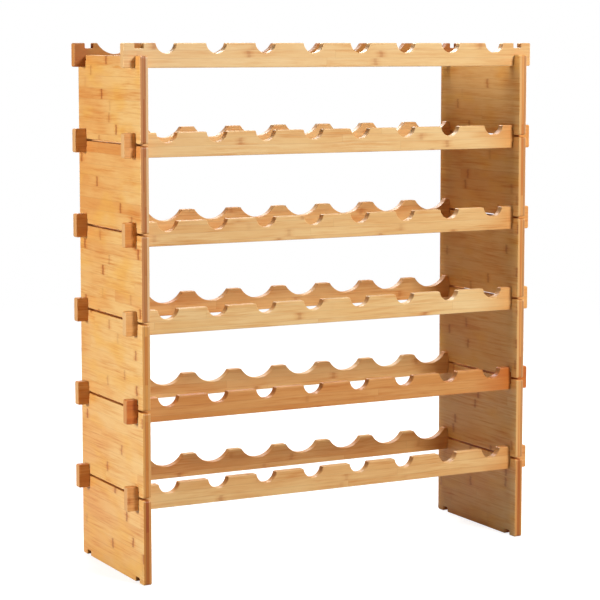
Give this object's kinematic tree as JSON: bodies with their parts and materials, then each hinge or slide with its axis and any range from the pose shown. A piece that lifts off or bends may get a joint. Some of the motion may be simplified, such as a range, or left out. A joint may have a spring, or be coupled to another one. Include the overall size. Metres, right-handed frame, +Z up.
{
  "type": "wine rack",
  "caption": "Tall free-standing bamboo wine rack: stacked side panels slot into notched front and rear rails whose scallops cradle lying bottles.",
  "frame": {"origin": "on the floor, midway between the side panels and midway along their depth", "axes": "+Z up, +X to the right seen from the front, front towards -Y"},
  "size_m": [0.833, 0.28, 0.9425],
  "materials": {
    "panel_bamboo": "flat-pressed amber bamboo with a clear satin lacquer",
    "rail_bamboo": "side-pressed honey bamboo with a clear satin lacquer"
  },
  "bodies": {
    "base_panels": {"left_panel_1": "panel_bamboo", "right_panel_1": "panel_bamboo"},
    "rails_1": {"front_rail_1": "rail_bamboo", "rear_rail_1": "rail_bamboo"},
    "panels_2": {"left_panel_2": "panel_bamboo", "right_panel_2": "panel_bamboo"},
    "rails_2": {"front_rail_2": "rail_bamboo", "rear_rail_2": "rail_bamboo"},
    "panels_3": {"left_panel_3": "panel_bamboo", "right_panel_3": "panel_bamboo"},
    "rails_3": {"front_rail_3": "rail_bamboo", "rear_rail_3": "rail_bamboo"},
    "panels_4": {"left_panel_4": "panel_bamboo", "right_panel_4": "panel_bamboo"},
    "rails_4": {"front_rail_4": "rail_bamboo", "rear_rail_4": "rail_bamboo"},
    "panels_5": {"left_panel_5": "panel_bamboo", "right_panel_5": "panel_bamboo"},
    "rails_5": {"front_rail_5": "rail_bamboo", "rear_rail_5": "rail_bamboo"},
    "panels_6": {"left_panel_6": "panel_bamboo", "right_panel_6": "panel_bamboo"},
    "front_rail_6": {"front_rail_6": "rail_bamboo"},
    "rear_rail_6": {"rear_rail_6": "rail_bamboo"}
  },
  "joints": [
    {"name": "rails_1_lift", "type": "slide", "parent": "base_panels", "child": "rails_1", "axis": [0, 0, 1], "range_m": [0, 0.025]},
    {"name": "panels_2_lift", "type": "slide", "parent": "rails_1", "child": "panels_2", "axis": [0, 0, 1], "range_m": [0, 0.025]},
    {"name": "rails_2_lift", "type": "slide", "parent": "panels_2", "child": "rails_2", "axis": [0, 0, 1], "range_m": [0, 0.025]},
    {"name": "panels_3_lift", "type": "slide", "parent": "rails_2", "child": "panels_3", "axis": [0, 0, 1], "range_m": [0, 0.025]},
    {"name": "rails_3_lift", "type": "slide", "parent": "panels_3", "child": "rails_3", "axis": [0, 0, 1], "range_m": [0, 0.025]},
    {"name": "panels_4_lift", "type": "slide", "parent": "rails_3", "child": "panels_4", "axis": [0, 0, 1], "range_m": [0, 0.025]},
    {"name": "rails_4_lift", "type": "slide", "parent": "panels_4", "child": "rails_4", "axis": [0, 0, 1], "range_m": [0, 0.025]},
    {"name": "panels_5_lift", "type": "slide", "parent": "rails_4", "child": "panels_5", "axis": [0, 0, 1], "range_m": [0, 0.025]},
    {"name": "rails_5_lift", "type": "slide", "parent": "panels_5", "child": "rails_5", "axis": [0, 0, 1], "range_m": [0, 0.025]},
    {"name": "panels_6_lift", "type": "slide", "parent": "rails_5", "child": "panels_6", "axis": [0, 0, 1], "range_m": [0, 0.025]},
    {"name": "front_rail_6_lift", "type": "slide", "parent": "panels_6", "child": "front_rail_6", "axis": [0, 0, 1], "range_m": [0, 0.025]},
    {"name": "rear_rail_6_lift", "type": "slide", "parent": "panels_6", "child": "rear_rail_6", "axis": [0, 0, 1], "range_m": [0, 0.025]}
  ]
}
